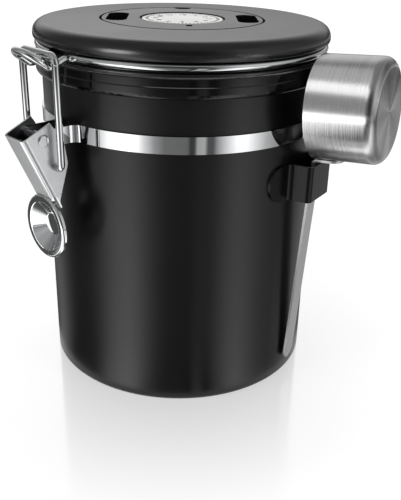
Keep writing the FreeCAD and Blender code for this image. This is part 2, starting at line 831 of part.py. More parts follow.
# Moulded lid with a crowned top, a recess for the dial and a groove for the wire ring
shell = turned("lid_shell", [
    ("pin_radius + seat_gap", "hub_bottom"),
    ("hub_radius", "hub_bottom"),
    ("hub_radius", "recess_floor - recess_wall"),
    ("recess_radius + recess_wall", "recess_floor - recess_wall"),
    ("recess_radius + recess_wall", "lid_ceiling"),
    ("lid_bore", "lid_ceiling"),
    ("lid_bore", "lid_flange_bottom"),
    ("lid_flange_radius", "lid_flange_bottom", "rim_lip_round"),
    ("lid_flange_radius", "lid_flange_top", "rim_lip_round"),
    ("lid_groove", "lid_flange_top", "rim_lip_round"),
    ("lid_groove", "lid_edge", "rim_lip_round"),
    ("lid_radius", "lid_edge", "lid_under_round"),
    ("lid_radius", "lid_top - lid_crown", "lid_round"),
    ("recess_radius", "lid_top", "rim_lip_round"),
    ("recess_radius", "recess_floor"),
    ("pin_radius + seat_gap", "recess_floor"),
])


# Four bosses under the lid, each bored for a liner screw
def add_bosses(body):
    foot = new_sketch(body, "boss", "XY_Plane", "liner_top + seat_gap")
    circle(foot, "screw_circle", "0", "boss_radius")
    boss = pad(body, "boss_post", foot, "lid_ceiling - seat_gap - liner_top")
    bore = new_sketch(body, "boss_bore", "XY_Plane", "liner_top + seat_gap")
    circle(bore, "screw_circle", "0", "screw_radius + seat_gap")
    drill = pocket(body, "boss_drill", bore, "screw_length", back=True)
    around(body, "bosses", [boss, drill], screw_count)


add_bosses(shell)

# Inner plate with the plug skirt and the valve seat
liner = turned("lid_liner", [
    ("stem_radius + run_fit", liner_bottom),
    ("plug_radius - plug_wall", liner_bottom),
    ("plug_radius - plug_wall", "plug_bottom", "rim_lip_round"),
    ("plug_radius", "plug_bottom", "rim_lip_round"),
    ("plug_radius", liner_bottom),
    ("lid_bore - liner_gap", liner_bottom),
    ("lid_bore - liner_gap", "liner_top"),
    ("stem_radius + run_fit", "liner_top"),
])


# A hole through a plate, repeated round the axis
def ring_of_holes(body, name, level, distance, radius, copies):
    sketch = new_sketch(body, name, "XY_Plane", level)
    circle(sketch, distance, "0", radius)
    cut = pocket(body, name + "_cut", sketch, "2 * liner_sheet")
    return around(body, name + "_ring", [cut], copies)


ring_of_holes(liner, "vent", "liner_top", "vent_circle", "vent_radius", vent_count)
ring_of_holes(liner, "screw_hole", "liner_top", "screw_circle", "screw_radius + seat_gap", screw_count)

# Soft ring that seals inside the mouth rim
gasket_top = "lid_flange_bottom - gasket_gap"
gasket = turned("lid_gasket", [
    ("plug_radius + gasket_gap", gasket_top + " - gasket_height"),
    ("gasket_radius", gasket_top + " - gasket_height", "gasket_height / 4"),
    ("gasket_radius", gasket_top, "gasket_height / 4"),
    ("plug_radius + gasket_gap", gasket_top),
])


# Four screws as one group of solids
def make_screws():
    head = value("screw_head")
    top = value(liner_bottom) - value("seat_gap")
    height = value("screw_head_height")
    radius = value("screw_radius")
    copies = []
    for step in range(screw_count):
        angle = 2 * math.pi * step / screw_count
        spot = FreeCAD.Vector(math.cos(angle), math.sin(angle), 0) * value("screw_circle")
        low = spot + FreeCAD.Vector(0, 0, top - height)
        cap = Part.makeCone(head - height / 2, head, height, low)
        shank = Part.makeCylinder(radius, value("screw_length") + height, low)
        copies.append(cap.fuse(shank).removeSplitter())
    group = doc.addObject("Part::Feature", "liner_screws")
    group.Label = "liner_screws"
    group.Shape = Part.makeCompound(copies)
    return group


screws = make_screws()

# Umbrella valve on the liner, its stem through the seat
flap = turned("valve_flap", [
    ("0", liner_bottom + " - bulb_drop - bulb_length"),
    ("stem_radius / 2", liner_bottom + " - bulb_drop - bulb_length"),
    ("bulb_radius", liner_bottom + " - bulb_drop"),
    ("stem_radius", liner_bottom + " - bulb_drop"),
    ("stem_radius", "liner_top + flap_gap"),
    ("flap_radius", "liner_top + flap_gap"),
    ("flap_radius", "liner_top + flap_gap + flap_sheet / 2"),
    ("stem_radius", "liner_top + flap_gap + flap_sheet"),
    ("0", "liner_top + flap_gap + flap_sheet"),
])

filter_disc = turned("valve_filter", [
    ("filter_bore", liner_bottom + " - seat_gap - filter_sheet"),
    ("filter_radius", liner_bottom + " - seat_gap - filter_sheet"),
    ("filter_radius", liner_bottom + " - seat_gap"),
    ("filter_bore", liner_bottom + " - seat_gap"),
])

# Cover with slots that holds the filter up
cap_top = liner_bottom + " - seat_gap"
cap = turned("valve_cap", [
    ("0", cap_top + " - cap_height"),
    ("cap_radius", cap_top + " - cap_height", "cap_wall * 3 / 4"),
    ("cap_radius", cap_top),
    ("cap_radius - cap_wall", cap_top),
    ("cap_radius - cap_wall", cap_top + " - cap_height + cap_wall"),
    ("0", cap_top + " - cap_height + cap_wall"),
])


def cut_slots(body):
    sketch = new_sketch(body, "slot", "XY_Plane", cap_top + " - cap_height")
    outline(sketch, [
        ("slot_circle - slot_length / 2", "-slot_width / 2", "slot_width / 3"),
        ("slot_circle + slot_length / 2", "-slot_width / 2", "slot_width / 3"),
        ("slot_circle + slot_length / 2", "slot_width / 2", "slot_width / 3"),
        ("slot_circle - slot_length / 2", "slot_width / 2", "slot_width / 3"),
    ])
    cut = pocket(body, "slot_cut", sketch, "2 * cap_wall", back=True)
    around(body, "slots", [cut], vent_count)


cut_slots(cap)

# Thin disc that the dial slides on
slip_bottom = "recess_floor + seat_gap"
slip = turned("slip_disc", [
    ("hub_radius", slip_bottom),
    ("slip_radius", slip_bottom),
    ("slip_radius", slip_bottom + " + slip_sheet"),
    ("hub_radius", slip_bottom + " + slip_sheet"),
])

# Turning dial with a sunk middle for the badge
dial = turned("date_dial", [
    ("pin_radius + run_fit", "dial_bottom"),
    ("dial_radius", "dial_bottom"),
    ("dial_radius", "lid_top", "dial_round"),
    ("badge_recess", "lid_top", "dial_round / 2"),
    ("badge_recess", "lid_top - badge_recess_depth"),
    ("sink_radius", "lid_top - badge_recess_depth"),
    ("sink_radius", "sink_floor"),
    ("pin_radius + run_fit", "sink_floor"),
])


# A rounded recess in the top of the dial
def dial_cut(name, left, right, near, far, radius, depth):
    sketch = new_sketch(dial, name, "XY_Plane", "lid_top")
    outline(sketch, [
        (left, near, radius),
        (right, near, radius),
        (right, far, radius),
        (left, far, radius),
    ])
    return pocket(dial, name + "_cut", sketch, depth)


finger = dial_cut("finger", "pocket_start", "pocket_end", "-pocket_half", "pocket_half",
                  "pocket_round", "pocket_depth")
around(dial, "fingers", [finger], pocket_count)
dial_cut("notch", "-notch_half", "notch_half", "notch_start", "dial_radius + 2 * notch_round",
         "notch_round", "pocket_depth")
dial_cut("mark", "mark_shift - mark_half", "mark_shift + mark_half", "-mark_end", "-mark_start",
         "mark_half / 2", "mark_depth")
dial.Placement = FreeCAD.Placement(
    FreeCAD.Vector(0, 0, 0), FreeCAD.Rotation(FreeCAD.Vector(0, 0, 1), value("dial_turn")))

badge_bottom = "lid_top - badge_recess_depth + seat_gap"
badge = turned("dial_badge", [
    ("0", badge_bottom),
    ("badge_radius", badge_bottom),
    ("badge_radius", badge_bottom + " + badge_sheet", "badge_sheet / 3"),
    ("0", badge_bottom + " + badge_sheet"),
])

pin_head_bottom = "sink_floor + dial_gap"
pin = turned("dial_screw", [
    ("0", "pin_bottom"),
    ("pin_radius", "pin_bottom"),
    ("pin_radius", pin_head_bottom),
    ("pin_head", pin_head_bottom),
    ("pin_head", pin_head_bottom + " + pin_head_height"),
    ("0", pin_head_bottom + " + pin_head_height"),
])


# Hat-shaped clip bent from sheet, drawn facing -Y and then turned to its place on the wall
def make_holder():
    body = new_body("scoop_holder")
    sketch = new_sketch(body, "plan", "XY_Plane", "holder_top - holder_height")
    layers = [
        ("body_radius + seat_gap", "holder_bend + holder_sheet", "holder_half - holder_sheet",
         "-(holder_reach - holder_sheet)", "holder_corner - holder_sheet"),
        ("body_radius + seat_gap + holder_sheet", "holder_bend", "holder_half",
         "-holder_reach", "holder_corner"),
    ]
    rules = []
    ends = []
    for ring, bend, side, face, corner in layers:
        span = value("holder_span")
        low = value(face) + value(corner)
        spots = strip_side(ring, bend, side, face)
        touch_angle = math.atan2(spots[3][1], spots[3][0])
        end_angle = -math.acos(span / value(ring))
        halfway = (touch_angle + end_angle) / 2
        flange_end = (span, -math.sqrt(value(ring) ** 2 - span ** 2))
        flange_mid = (value(ring) * math.cos(halfway), value(ring) * math.sin(halfway))
        turn = value(corner) * (1 - math.cos(math.pi / 4))
        corner_mid = (value(side) - turn, value(face) + turn)
        corner_end = (value(side) - value(corner), value(face))
        path = [flange_end, flange_mid, spots[3], spots[2], spots[1], (value(side), low),
                corner_mid, corner_end]
        right = [FreeCAD.Vector(across, up, 0) for across, up in path]
        left = [FreeCAD.Vector(-across, up, 0) for across, up in path]
        flange_right = add_arc(sketch, right[0], right[1], right[2])
        bend_right = add_arc(sketch, right[2], right[3], right[4])
        side_right = sketch.addGeometry(Part.LineSegment(right[4], right[5]), False)
        corner_right = add_arc(sketch, right[5], right[6], right[7])
        front = sketch.addGeometry(Part.LineSegment(right[7], left[7]), False)
        corner_left = add_arc(sketch, left[7], left[6], left[5])
        side_left = sketch.addGeometry(Part.LineSegment(left[5], left[4]), False)
        bend_left = add_arc(sketch, left[4], left[3], left[2])
        flange_left = add_arc(sketch, left[2], left[1], left[0])
        chain = [flange_right, bend_right, side_right, corner_right, front,
                 corner_left, side_left, bend_left, flange_left]
        joints = [right[2], right[4], right[5], right[7], left[7], left[5], left[4], left[2]]
        for first, second, spot in zip(chain, chain[1:], joints):
            rules.append((Sketcher.Constraint("Tangent", first, end_at(sketch, first, spot),
                                              second, end_at(sketch, second, spot)), None))
        for flange in (flange_right, flange_left):
            rules.append((Sketcher.Constraint("Coincident", flange, 3, -1, 1), None))
            rules.append((Sketcher.Constraint("Radius", flange, value(ring)), ring))
        arcs = [(bend_right, bend), (bend_left, bend), (corner_right, corner), (corner_left, corner)]
        for arc, radius in arcs:
            rules.append((Sketcher.Constraint("Radius", arc, value(radius)), radius))
        rules.append((Sketcher.Constraint("Vertical", side_right), None))
        rules.append((Sketcher.Constraint("Vertical", side_left), None))
        rules.append((Sketcher.Constraint("Horizontal", front), None))
        left_side = "-(" + side + ")"
        rules.append((Sketcher.Constraint("DistanceX", -1, 1, side_right, 1, value(side)), side))
        rules.append((Sketcher.Constraint("DistanceX", -1, 1, side_left, 1, value(left_side)), left_side))
        rules.append((Sketcher.Constraint("DistanceY", -1, 1, front, 1, value(face)), face))
        right_end = end_at(sketch, flange_right, right[0])
        left_end = end_at(sketch, flange_left, left[0])
        for flange, end, far, words in ((flange_right, right_end, span, "holder_span"),
                                        (flange_left, left_end, -span, "-holder_span")):
            rules.append((Sketcher.Constraint("DistanceX", -1, 1, flange, end, far), words))
        ends.append(((flange_right, right_end), (flange_left, left_end)))
    for place_of_end in range(2):
        (inner, inner_end), (outer, outer_end) = ends[0][place_of_end], ends[1][place_of_end]
        first = point_at(sketch, inner, inner_end)
        second = point_at(sketch, outer, outer_end)
        line = sketch.addGeometry(Part.LineSegment(first, second), False)
        rules.append((Sketcher.Constraint("Coincident", line, 1, inner, inner_end), None))
        rules.append((Sketcher.Constraint("Coincident", line, 2, outer, outer_end), None))
    bind(sketch, rules)
    pad(body, "strip", sketch, "holder_height")
    face = new_sketch(body, "front", "XZ_Plane")
    base = "holder_top - holder_height"
    outline(face, [
        ("-2 * holder_span", base + " - holder_height"),
        ("2 * holder_span", base + " - holder_height"),
        ("2 * holder_span", "holder_top + holder_height"),
        ("-2 * holder_span", "holder_top + holder_height"),
    ])
    outline(face, [
        ("-holder_span", base, "holder_end_round"),
        ("holder_span", base, "holder_end_round"),
        ("holder_span", "holder_top", "holder_end_round"),
        ("-holder_span", "holder_top", "holder_end_round"),
    ])
    pocket(body, "round_ends", face, "2 * holder_reach", back=True)
    body.Placement = FreeCAD.Placement(
        FreeCAD.Vector(0, 0, 0),
        FreeCAD.Rotation(FreeCAD.Vector(0, 0, 1), value("scoop_angle") + quarter_turn))
    return body


holder = make_holder()

scoop_spin = FreeCAD.Rotation(FreeCAD.Vector(0, 0, 1), value("scoop_angle") + value("scoop_twist"))
scoop_x = "scoop_reach * cos(scoop_angle)"
scoop_y = "scoop_reach * sin(scoop_angle)"
scoop_z = "holder_top + scoop_lift"


# Flat strip, its long leg leaning to the wall and its short leg under the cup
def make_handle():
    body = new_body("scoop_handle")
    sketch = new_sketch(body, "side", "XZ_Plane")
    corner = "strip_sheet / (1 + sin(scoop_tilt + cup_rise))"
    foot_x = "-strip_length * sin(scoop_tilt)"
    foot_z = "-strip_length * cos(scoop_tilt)"
    outline(sketch, [
        (foot_x, foot_z),
        ("0", "0", "strip_bend - strip_sheet"),
        ("strip_leg * cos(cup_rise)", "strip_leg * sin(cup_rise)"),
        ("strip_leg * cos(cup_rise) - strip_sheet * sin(cup_rise)",
         "strip_leg * sin(cup_rise) + strip_sheet * cos(cup_rise)"),
        ("-" + corner + " * (cos(scoop_tilt) + sin(cup_rise))",
         corner + " * (sin(scoop_tilt) + cos(cup_rise))", "strip_bend"),
        (foot_x + " - strip_sheet * cos(scoop_tilt)", foot_z + " + strip_sheet * sin(scoop_tilt)"),
    ])
    strip = pad(body, "strip", sketch, "2 * strip_half", middle=True)
    half = value("strip_half")
    sheet_length = value("strip_sheet")
    round_edges(
        body, "strip_ends", strip, "strip_end_round",
        lambda edge: all(abs(abs(spot.Point.y) - half) < match_limit for spot in edge.Vertexes)
        and abs(edge.Length - sheet_length) < match_limit)
    place(body, scoop_x, scoop_y, scoop_z, scoop_spin)
    return body


handle = make_handle()


def make_cup():
    body = new_body("scoop_cup")
    sketch = new_sketch(body, "section", "XZ_Plane")
    outline(sketch, [
        ("cup_start", "cup_radius - cup_wall"),
        ("cup_start + cup_depth - cup_wall", "cup_radius - cup_wall", "cup_round - cup_wall"),
        ("cup_start + cup_depth - cup_wall", "0"),
        ("cup_start + cup_depth", "0"),
        ("cup_start + cup_depth", "cup_radius", "cup_round"),
        ("cup_start", "cup_radius"),
    ])
    revolve(body, "turn", sketch, "H_Axis")
    lift = "(strip_sheet + cup_radius + seat_gap)"
    inward = "(-" + lift + " * sin(cup_rise))"
    rise = FreeCAD.Rotation(FreeCAD.Vector(0, 1, 0), -value("cup_rise"))
    place(body,
          scoop_x + " + " + inward + " * cos(scoop_angle + scoop_twist)",
          scoop_y + " + " + inward + " * sin(scoop_angle + scoop_twist)",
          scoop_z + " + " + lift + " * cos(cup_rise)",
          scoop_spin.multiply(rise))
    return body


cup = make_cup()

doc.recompute()

nodes = [
    canister, band, rivet, bush, bracket, holder, lever, bail, lid_ring, shell, liner, gasket, screws,
    slip, dial, badge, pin, flap, filter_disc, cap, cup, handle,
]

for item in doc.Objects:
    if "Invalid" in item.State or "Error" in item.State:
        raise RuntimeError("not built: " + item.Name)

os.makedirs("parts", exist_ok=True)
for node in nodes:
    if node.Shape.isNull() or not node.Shape.isValid():
        raise RuntimeError("bad shape: " + node.Label)
    node.Shape.exportStep("parts/" + node.Label + ".step")
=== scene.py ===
import math

import bmesh
import bpy
from mathutils import Matrix, Vector


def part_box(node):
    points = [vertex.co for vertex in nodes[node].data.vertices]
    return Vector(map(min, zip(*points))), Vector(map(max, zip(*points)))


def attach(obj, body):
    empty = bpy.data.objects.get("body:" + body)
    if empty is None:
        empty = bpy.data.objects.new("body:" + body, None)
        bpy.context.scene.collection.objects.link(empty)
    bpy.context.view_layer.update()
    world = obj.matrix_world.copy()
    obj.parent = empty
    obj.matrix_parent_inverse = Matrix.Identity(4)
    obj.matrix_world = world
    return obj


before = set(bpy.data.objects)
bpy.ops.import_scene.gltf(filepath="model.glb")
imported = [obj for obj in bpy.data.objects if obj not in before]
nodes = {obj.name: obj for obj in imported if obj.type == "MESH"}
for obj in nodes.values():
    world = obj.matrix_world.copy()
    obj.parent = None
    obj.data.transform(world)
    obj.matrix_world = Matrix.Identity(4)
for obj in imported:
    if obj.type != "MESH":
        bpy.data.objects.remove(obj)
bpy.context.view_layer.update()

scene = bpy.context.scene


class Wire:
    # a socket of a node tree; sums written on it become Math nodes
    def __init__(self, tree, socket=None):
        self.tree = tree
        self.socket = socket

    def add(self, kind, settings=None, sockets=None, out=0):
        node = self.tree.nodes.new("ShaderNode" + kind)
        for name, value in (settings or {}).items():
            if name == "stops":
                stops = node.color_ramp.elements
                while len(stops) < len(value):
                    stops.new(1.0)
                for stop, (place, colour) in zip(stops, value):
                    stop.position = place
                    stop.color = colour
            else:
                setattr(node, name, value)
        for name, value in (sockets or {}).items():
            if isinstance(value, Wire):
                self.tree.links.new(value.socket, node.inputs[name])
            else:
                node.inputs[name].default_value = value
        return Wire(self.tree, node.outputs[out] if len(node.outputs) else None)

    def sum(self, operation, first, second):
        return self.add("Math", {"operation": operation}, {0: first, 1: second})

    def __add__(self, other):
        return self.sum("ADD", self, other)

    def __radd__(self, other):
        return self.sum("ADD", other, self)

    def __sub__(self, other):
        return self.sum("SUBTRACT", self, other)

    def __rsub__(self, other):
        return self.sum("SUBTRACT", other, self)

    def __mul__(self, other):
        return self.sum("MULTIPLY", self, other)

    def __rmul__(self, other):
        return self.sum("MULTIPLY", other, self)

    def __truediv__(self, other):
        return self.sum("DIVIDE", self, other)

    def __rtruediv__(self, other):
        return self.sum("DIVIDE", other, self)

    def __pow__(self, other):
        return self.sum("POWER", self, other)

    def __lt__(self, other):
        return self.sum("LESS_THAN", self, other)

    def __gt__(self, other):
        return self.sum("GREATER_THAN", self, other)

    def parts(self):
        # x, y and z of a vector
        node = self.tree.nodes.new("ShaderNodeSeparateXYZ")
        self.tree.links.new(self.socket, node.inputs[0])
        return [Wire(self.tree, socket) for socket in node.outputs]

    def dot(self, direction):
        return self.add("VectorMath", {"operation": "DOT_PRODUCT"}, {0: self, 1: direction}, "Value")

    def noise(self, scale, detail, roughness=0.5):
        sockets = {"Vector": self, "Scale": scale, "Detail": detail, "Roughness": roughness}
        return self.add("TexNoise", {}, sockets)

    def swing(self, size):
        # a noise turned into a swing round zero
        return (self - 0.5) * size

    def ease(self, low, high, start=0.0, end=1.0):
        # soft step between two values
        sockets = {0: self, 1: low, 2: high, 3: start, 4: end}
        return self.add("MapRange", {"interpolation_type": "SMOOTHSTEP"}, sockets)

    def blend(self, first, second):
        # two colours mixed by this value
        return self.add("Mix", {"data_type": "RGBA"}, {0: self, 6: first, 7: second}, 2)


def grey(level):
    return (level, level, level, 1.0)


def greys(level, shares):
    return [grey(level * share) for share in shares]


def scaled(colour, share):
    # the same hue, darker
    return tuple(share * part for part in colour[:3]) + (1.0,)


def fromAxis(x, y):
    # distance from the can's axis
    return (x * x + y * y) ** 0.5


def levelsRound(start, share, stops, scale=1.0):
    # grey levels round a turn; share runs from -0.5 to 0.5, stops hold degrees and levels
    levels = [(angle / 360 + 0.5, grey(level * scale)) for angle, level in stops]
    return start.add("ValToRGB", {"stops": levels}, {0: share + 0.5})


def newMaterial(name):
    material = bpy.data.materials.new(name)
    material.use_nodes = True
    material.node_tree.nodes.clear()
    start = Wire(material.node_tree)
    return material, start, start.add("TexCoord", {}, {}, "Object")


def shade(start, sockets, bump, strength, distance=0.0001):
    # principled surface with a bump
    bumped = start.add("Bump", {}, {"Height": bump, "Strength": strength, "Distance": distance})
    surface = start.add("BsdfPrincipled", {}, {**sockets, "Normal": bumped})
    start.add("OutputMaterial", {}, {"Surface": surface})


def dress(names, material):
    for name in names:
        for slot in nodes[name].material_slots:
            slot.material = material


def addPiece(name, made, material):
    mesh = bpy.data.meshes.new(name)
    made.to_mesh(mesh)
    made.free()
    mesh.materials.append(material)
    piece = bpy.data.objects.new(name, mesh)
    scene.collection.objects.link(piece)
    return piece


frontTurn = -42.5  # the camera's side of the can, in degrees

# camera, found from the round edges and the upright sides in the picture
cameraSet = {
    "place": (0.0, -0.326446, 0.195884), "turn": 0.0310205, "pitch": 0.4329886, "roll": 0.0248842,
    "focal": 737.67, "frameHigh": 500, "sensor": 36.0, "clip": 0.01,
}


def makeCamera(s):
    aim = Vector((math.sin(s["turn"]) * math.cos(s["pitch"]),
                  math.cos(s["turn"]) * math.cos(s["pitch"]),
                  -math.sin(s["pitch"])))
    side = aim.cross(Vector((0, 0, 1))).normalized()
    up = side.cross(aim)
    right = side * math.cos(s["roll"]) + up * math.sin(s["roll"])
    top = up * math.cos(s["roll"]) - side * math.sin(s["roll"])
    stand = Matrix.Rotation(math.radians(frontTurn + 90), 4, "Z")
    axes = Matrix((right, top, -aim)).transposed().to_4x4()
    data = bpy.data.cameras.new("camera")
    data.sensor_fit = "VERTICAL"
    data.sensor_height = s["sensor"]
    data.lens = s["focal"] * s["sensor"] / s["frameHigh"]
    data.clip_start = s["clip"]
    camera = bpy.data.objects.new("camera", data)
    camera.matrix_world = stand @ Matrix.Translation(s["place"]) @ axes
    scene.collection.objects.link(camera)
    scene.camera = camera
    return camera


camera = makeCamera(cameraSet)
scene.view_settings.view_transform = "Standard"
print("camera at", tuple(round(v, 3) for v in camera.matrix_world.translation))


def brightAround(start, x, y, stops, lag=0.0):
    # brightness by the angle from the camera's side; lag follows a wall's mirror image outwards
    turn = math.radians(frontTurn)
    along = x * math.cos(turn) + y * math.sin(turn)
    across = y * math.cos(turn) - x * math.sin(turn)
    share = start.sum("ARCTAN2", across, along) / math.tau
    if lag:
        radius = fromAxis(x, y)
        share = start.sum("MAXIMUM", share * radius / (radius - lag), -0.5)
        share = start.sum("MINIMUM", share, 0.5)
    return levelsRound(start, share, stops)


def seenRays(start):
    # camera rays, and mirror and glass rays
    path = start.add("LightPath").socket.node
    camera, glossy, through = [Wire(start.tree, path.outputs[name]) for name in
                               ("Is Camera Ray", "Is Glossy Ray", "Is Transmission Ray")]
    return camera, glossy + through


# white sky; mirrors see dark flags in front and at the sides, and a bright wall behind
skySet = {
    "seen": 1.0, "light": 0.5, "overhead": 0.28, "lowLine": (0.06, 0.17), "highLine": (0.55, 0.85),
    "low": [(-180, 0.3), (-150, 0.05), (-110, 0.15), (-80, 0.25), (-62, 0.45), (-46, 0.45), (-32, 0.2),
            (-20, 0.05), (0, 0.02), (20, 0.05), (32, 0.2), (46, 0.4), (60, 0.4), (76, 0.6), (100, 0.6),
            (150, 0.05), (180, 0.3)],
    "middle": [(-180, 0.88), (-168, 1.0), (-155, 0.9), (-138, 0.4), (-120, 0.2), (-105, 0.2), (-78, 0.35),
               (-60, 0.35), (-46, 0.45), (-32, 0.25), (-18, 0.06), (0, 0.04), (18, 0.06), (32, 0.25),
               (46, 0.65), (60, 0.65), (78, 0.5), (105, 0.3), (120, 0.2), (138, 0.35), (155, 0.7),
               (168, 0.76), (180, 0.88)],
}


def makeSky(s):
    world = bpy.data.worlds.new("sky")
    world.use_nodes = True
    world.node_tree.nodes.clear()
    start = Wire(world.node_tree)
    camera, mirror = seenRays(start)
    x, y, z = start.add("TexCoord", {}, {}, "Generated").parts()
    low = brightAround(start, x, y, s["low"])
    middle = brightAround(start, x, y, s["middle"])
    mirrored = low + z.ease(*s["lowLine"]) * (middle - low)
    mirrored = mirrored + z.ease(*s["highLine"]) * (s["overhead"] - mirrored)
    strength = s["light"] + camera * (s["seen"] - s["light"]) + mirror * (mirrored - s["light"])
    light = start.add("Background", {}, {"Color": grey(1.0), "Strength": strength})
    start.add("OutputWorld", {}, {"Surface": light})
    scene.world = world


# white floor, polished near the can; far out it is as white as the sky and meets it without an edge
floorSet = {"half": 2.5, "share": 0.72, "glow": 1.1, "tint": 0.86, "gloss": 0.30, "glossRough": 0.10,
            "near": 0.060, "far": 0.132, "sweep": (0.45, 1.3)}


def makeFloor(s):
    material, start, place = newMaterial("white_sweep")
    x, y = place.parts()[:2]
    radius = fromAxis(x, y)
    camera, mirrored = seenRays(start)
    matte = start.add("BsdfDiffuse", {}, {"Color": grey(s["tint"])})
    glow = start.add("Emission", {}, {"Color": grey(1.0), "Strength": (camera + mirrored) * s["glow"]})
    mirror = start.add("BsdfGlossy", {}, {"Color": grey(1.0), "Roughness": s["glossRough"]})
    share = radius.ease(*s["sweep"], s["share"], 1.0)
    base = start.add("MixShader", {}, {0: share, 1: matte, 2: glow})
    polish = start.add("MapRange", {}, {0: radius, 1: s["near"], 2: s["far"], 3: s["gloss"], 4: 0.0})
    surface = start.add("MixShader", {}, {0: polish, 1: base, 2: mirror})
    start.add("OutputMaterial", {}, {"Surface": surface})
    made = bmesh.new()
    bmesh.ops.create_grid(made, x_segments=1, y_segments=1, size=s["half"])
    floor = addPiece("floor", made, material)


# low reflector round the object: only mirrors see it, and only from above
reflectorSet = {
    "inner": 0.064, "outer": 1.6, "height": 0.0006, "steps": 64,
    "strength": 2.0, "lag": 0.03, "fade": (0.5, 0.9, 1.0, 0.2),
    "stops": [(-180, 0.03), (-160, 0.1), (-145, 0.26), (-130, 0.18), (-112, 0.03), (-84, 0.05), (-76, 0.12),
              (-70, 0.3), (-64, 0.52), (-54, 0.8), (-44, 0.95), (-37, 0.78), (-29, 0.4), (-21, 0.17),
              (-13, 0.085), (5, 0.075), (7, 0.025), (11, 0.025), (12, 0.2), (19, 0.24), (20.5, 0.05),
              (26, 0.045), (28, 0.14), (37, 0.4), (45, 0.65), (53, 0.68), (62, 0.46), (72, 0.25),
              (90, 0.12), (115, 0.2), (142, 0.28), (180, 0.03)],
}


def makeReflector(s):
    material, start, place = newMaterial("reflector_card")
    x, y = place.parts()[:2]
    bright = brightAround(start, x, y, s["stops"], s["lag"])
    fade = fromAxis(x, y).ease(*s["fade"])
    light = start.add("Emission", {}, {"Color": bright, "Strength": fade * s["strength"]})
    clear = start.add("BsdfTransparent")
    back = start.add("NewGeometry", {}, {}, "Backfacing")
    surface = start.add("MixShader", {}, {0: back, 1: light, 2: clear})
    start.add("OutputMaterial", {}, {"Surface": surface})
    made = bmesh.new()
    first = made.verts.new((s["inner"], 0, s["height"]))
    last = made.verts.new((s["outer"], 0, s["height"]))
    edge = made.edges.new((first, last))
    bmesh.ops.spin(made, geom=[first, last, edge], axis=(0, 0, 1), cent=(0, 0, 0), angle=math.tau,
                   steps=s["steps"], use_merge=True)
    bmesh.ops.recalc_face_normals(made, faces=made.faces[:])
    if made.faces[:][0].normal.z < 0:
        bmesh.ops.reverse_faces(made, faces=made.faces[:])
    card = addPiece("reflector", made, material)
    card.visible_camera = False
    card.visible_diffuse = False
    card.visible_shadow = False
    card.visible_transmission = False


# soft boxes: one with "only" lights that piece alone and shows in its gloss, the others show in no mirror
canMiddle = (0.0, 0.0, 0.08)
lidMiddle = (0.0, 0.0, 0.145)
cupMiddle = (0.0765, 0.0192, 0.1265)
leverMiddle = (0.0, -0.08, 0.1)
lampSet = {
    "top": {"at": (-0.35, 0.45, 1.1), "size": (1.0, 1.0), "watts": 9.0, "aim": canMiddle},
    "cup": {"at": (0.0823, -0.0985, 0.1100), "size": (0.12, 0.027), "watts": 0.021, "aim": cupMiddle,
            "only": "scoop_cup"},
    "cupUnder": {"at": (0.0875, -0.024, 0.023), "size": (0.12, 0.06), "watts": 0.010, "aim": cupMiddle,
                 "only": "scoop_cup"},
    "cupUpper": {"at": (0.0307, -0.1586, 0.323), "size": (0.25, 0.095), "watts": 0.11, "aim": cupMiddle,
                 "only": "scoop_cup"},
    "cupTop": {"at": (0.0037, -0.0515, 0.377), "size": (0.25, 0.13), "watts": 0.04, "aim": cupMiddle,
               "only": "scoop_cup"},
    "lever": {"at": (-0.035, -0.16, 0.012), "size": (0.12, 0.12), "watts": 0.075, "aim": leverMiddle,
              "only": "latch_lever"},
    "mouth": {"at": (0.12, -0.12, 0.75), "size": (0.4, 0.4), "watts": 0.9, "aim": canMiddle,
              "only": "canister_body"},
    "lidLeft": {"at": (0.021, -0.80, 0.22), "size": (0.30, 0.28), "watts": 2.1, "aim": lidMiddle,
                "only": "lid_shell"},
    "lidRight": {"at": (0.787, 0.146, 0.10), "size": (0.22, 0.12), "watts": 0.42, "aim": lidMiddle,
                 "only": "lid_shell"},
    "left": {"at": (-0.25, -0.95, 0.55), "size": (0.5, 1.0), "watts": 5.0, "aim": canMiddle},
    "right": {"at": (1.0, 0.3, 0.55), "size": (0.35, 0.9), "watts": 4.0, "aim": canMiddle},
}


def makeLamp(name, s):
    data = bpy.data.lights.new("soft_" + name, "AREA")
    data.shape = "RECTANGLE"
    data.size, data.size_y = s["size"]
    data.energy = s["watts"]
    lamp = bpy.data.objects.new("soft_" + name, data)
    lamp.location = s["at"]
    aim = Vector(s["aim"]) - Vector(s["at"])
    lamp.rotation_euler = aim.to_track_quat("-Z", "Y").to_euler()
    lamp.visible_glossy = "only" in s
    scene.collection.objects.link(lamp)
    if "only" in s:
        lamp.visible_camera = False
        lit = bpy.data.collections.new("lit_by_" + name)
        lit.objects.link(nodes[s["only"]])
        lamp.light_linking.receiver_collection = lit


makeSky(skySet)
makeFloor(floorSet)
makeReflector(reflectorSet)
for lampName, lampSettings in lampSet.items():
    makeLamp(lampName, lampSettings)
print("studio: floor, reflector and %d lamps" % len(lampSet))


# can: satin black coat outside, gloss black mouth rim, bare steel inside
canSet = {
    "wall": 0.0596, "rim": 0.0617, "rimStart": 0.1326, "rimFull": 0.1350, "rimEdge": (0.1324, 0.1332),
    "floorTop": 0.0008, "coat": 0.0032, "coatShades": (0.85, 1.15), "coatRough": 0.32, "coatSwing": 0.07,
    "rimRough": 0.10, "steel": 0.72, "steelShades": (0.86, 1.1), "steelRough": 0.34, "steelSwing": 0.2,
    "steelMetal": 0.9, "smudge": 28.0, "peel": 1500.0, "peelHeight": 0.6, "spun": 2600.0, "spunLong": 12.0,
    "bump": 0.05, "ior": 1.5,
}


